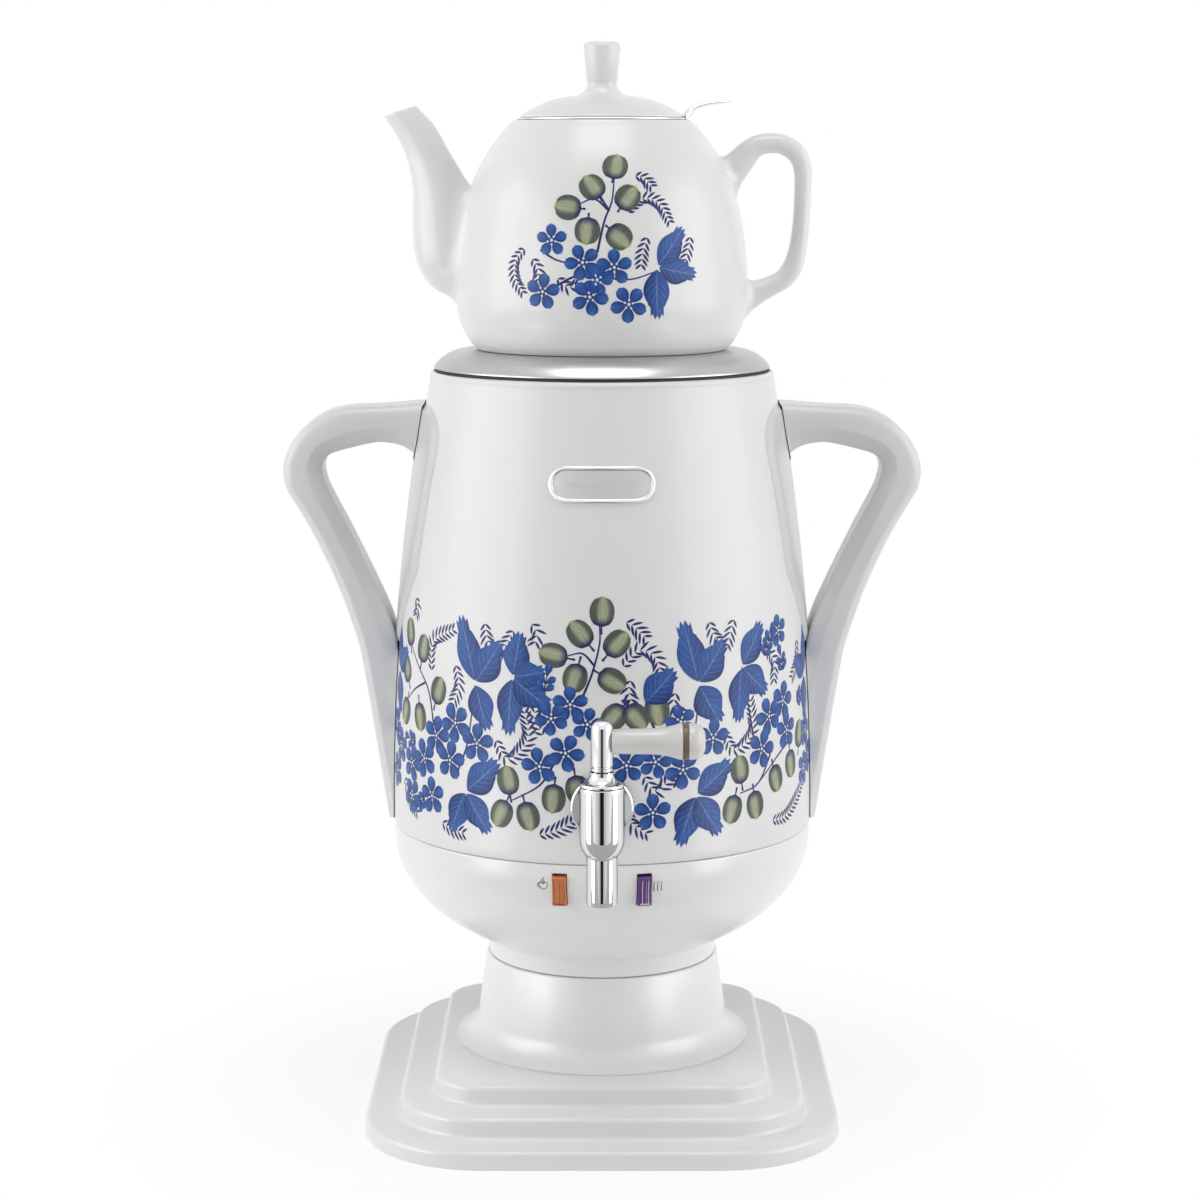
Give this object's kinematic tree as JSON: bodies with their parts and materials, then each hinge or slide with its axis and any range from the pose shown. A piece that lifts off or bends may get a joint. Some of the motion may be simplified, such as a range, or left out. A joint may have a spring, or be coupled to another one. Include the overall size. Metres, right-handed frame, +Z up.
{
  "type": "electric samovar",
  "caption": "Electric samovar: stepped plinth, round body with side handles, turning tap, rocker switches, and a teapot with strainer and lid on its warming plate.",
  "frame": {"origin": "on the body's axis at the underside of the plinth", "axes": "+Z up, the tap faces -Y, the shut lever points to +X"},
  "size_m": [0.2752, 0.2418, 0.4605],
  "materials": {
    "plinth": "satin moulded, light grey-white",
    "pedestal": "satin moulded, light grey-white",
    "bowl": "glossy white",
    "casing": "glossy white enamel with a printed blue and olive flower band",
    "handle": "satin light grey",
    "handle_pad": "satin light grey",
    "steel": "plain steel",
    "warming_plate": "satin polished steel",
    "strainer": "bright steel",
    "chrome": "polished chrome",
    "valve_brass": "machined brass",
    "lever": "glossy ivory white",
    "lever_band": "dark bronze",
    "porcelain": "white glaze with a blue and olive flower spray",
    "badge": "satin, blank",
    "rubber": "black",
    "rocker_left": "orange",
    "rocker_right": "violet with light bars",
    "black_plastic": "black",
    "heater": "cast",
    "element": "dull sheath",
    "white_plastic": "white",
    "ceramic_insulator": "ivory",
    "wire": "insulated wire"
  },
  "bodies": {
    "base": {"plinth": "plinth", "base_cover": "black_plastic", "rubber_feet": "rubber", "cover_screws": "steel", "pedestal": "pedestal", "tie_rod": "steel", "tie_rod_nuts": "steel", "tie_rod_washers": "steel", "bowl": "bowl", "casing": "casing", "casing_screws": "steel", "water_tank": "steel", "rim_gasket": "rubber", "heater_plate": "heater", "heating_element": "element", "thermostat": "ceramic_insulator", "thermal_cutout": "black_plastic", "terminal_block": "ceramic_insulator", "wiring": "wire", "power_inlet": "black_plastic", "inlet_blades": "valve_brass", "handle_left": "handle", "handle_right": "handle", "handle_pad_left": "handle_pad", "handle_pad_right": "handle_pad", "handle_screws": "steel", "badge": "badge", "switch_housing_left": "black_plastic", "switch_housing_right": "black_plastic", "tap_body": "chrome", "tap_bonnet": "chrome", "tap_washer": "rubber", "tap_spacer": "white_plastic", "tank_seal": "rubber", "tap_nut": "steel"},
    "tap_valve": {"valve_plug": "valve_brass", "valve_washer": "white_plastic", "valve_head": "chrome", "lever_handle": "lever", "lever_band": "lever_band", "lever_cap": "lever"},
    "rocker_left": {"rocker_left": "rocker_left"},
    "rocker_right": {"rocker_right": "rocker_right"},
    "warming_plate": {"warming_plate": "warming_plate"},
    "teapot": {"teapot": "porcelain", "teapot_spout": "porcelain", "teapot_handle": "porcelain"},
    "strainer": {"strainer": "strainer"},
    "lid": {"lid": "porcelain"}
  },
  "joints": [
    {"name": "tap_turn", "type": "hinge", "parent": "base", "child": "tap_valve", "pos_m": [0, -0.12481, 0.15005], "axis": [0, 0, 1], "range_deg": [-90, 0]},
    {"name": "rocker_left_tilt", "type": "hinge", "parent": "base", "child": "rocker_left", "pos_m": [-0.01652, -0.0842, 0.11406], "axis": [0.9813, -0.1925, 0], "range_deg": [-8, 0]},
    {"name": "rocker_right_tilt", "type": "hinge", "parent": "base", "child": "rocker_right", "pos_m": [0.01652, -0.0842, 0.11406], "axis": [0.9813, 0.1925, 0], "range_deg": [-8, 0]},
    {"name": "warming_plate_lift", "type": "slide", "parent": "base", "child": "warming_plate", "axis": [0, 0, 1], "range_m": [0, 0.06]},
    {"name": "teapot_lift", "type": "slide", "parent": "warming_plate", "child": "teapot", "axis": [0, 0, 1], "range_m": [0, 0.06]},
    {"name": "strainer_lift", "type": "slide", "parent": "teapot", "child": "strainer", "axis": [0, 0, 1], "range_m": [0, 0.07]},
    {"name": "lid_lift", "type": "slide", "parent": "strainer", "child": "lid", "axis": [0, 0, 1], "range_m": [0, 0.04]}
  ]
}
